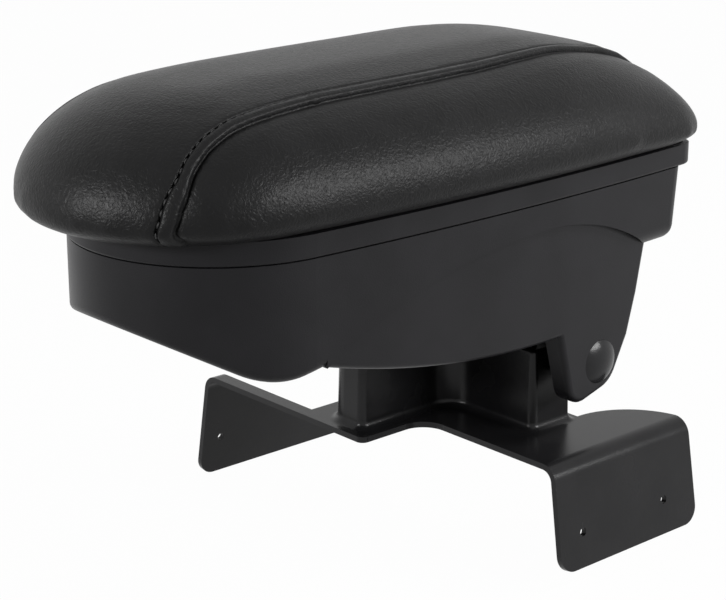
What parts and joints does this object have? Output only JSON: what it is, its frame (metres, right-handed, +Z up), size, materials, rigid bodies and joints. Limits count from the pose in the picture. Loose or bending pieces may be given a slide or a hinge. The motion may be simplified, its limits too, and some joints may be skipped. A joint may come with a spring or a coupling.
{
  "type": "car centre armrest",
  "caption": "Padded car centre armrest with a storage box under its hinged lid, tilting on a saddle bracket with flared wings that screw to the console.",
  "frame": {"origin": "on the plane of the underside of the bracket's saddle, behind the tower, on the middle plane of the arm", "axes": "+X to the front of the car along the arm, +Y to the left, +Z up"},
  "size_m": [0.3573, 0.2351, 0.2555],
  "materials": {
    "bracket_plastic": "satin black, finely textured",
    "box_plastic": "satin dark grey, finely grained",
    "cap_plastic": "smooth satin black",
    "bush_plastic": "natural acetal",
    "leatherette": "soft black leatherette with a fine wrinkle grain",
    "foam": "open-cell foam",
    "board": "raw plywood",
    "rubber": "matt black rubber",
    "steel": "zinc plated"
  },
  "bodies": {
    "bracket": {"console_bracket": "bracket_plastic", "pivot_tube": "steel", "pivot_bolt": "steel", "pivot_nut": "steel", "pivot_washer_left": "steel", "pivot_washer_right": "steel", "stop_bumper_left": "rubber", "stop_bumper_right": "rubber"},
    "box": {"storage_bin": "box_plastic", "pivot_bush_left": "bush_plastic", "pivot_bush_right": "bush_plastic", "pivot_cap_left": "cap_plastic", "pivot_cap_right": "cap_plastic", "hinge_pin": "steel"},
    "lid": {"lid_frame": "box_plastic", "lid_hinge": "box_plastic", "pad_board": "board", "foam_pad": "foam", "cover_centre_panel": "leatherette", "cover_left_panel": "leatherette", "cover_right_panel": "leatherette", "lid_screws": "steel"}
  },
  "joints": [
    {"name": "arm_tilt", "type": "hinge", "parent": "bracket", "child": "box", "pos_m": [0.0396, 0, 0.0397], "axis": [0, -1, 0], "range_deg": [0, 80]},
    {"name": "lid_open", "type": "hinge", "parent": "box", "child": "lid", "pos_m": [-0.0254, 0, 0.1261], "axis": [0, -1, 0], "range_deg": [0, 75]}
  ]
}
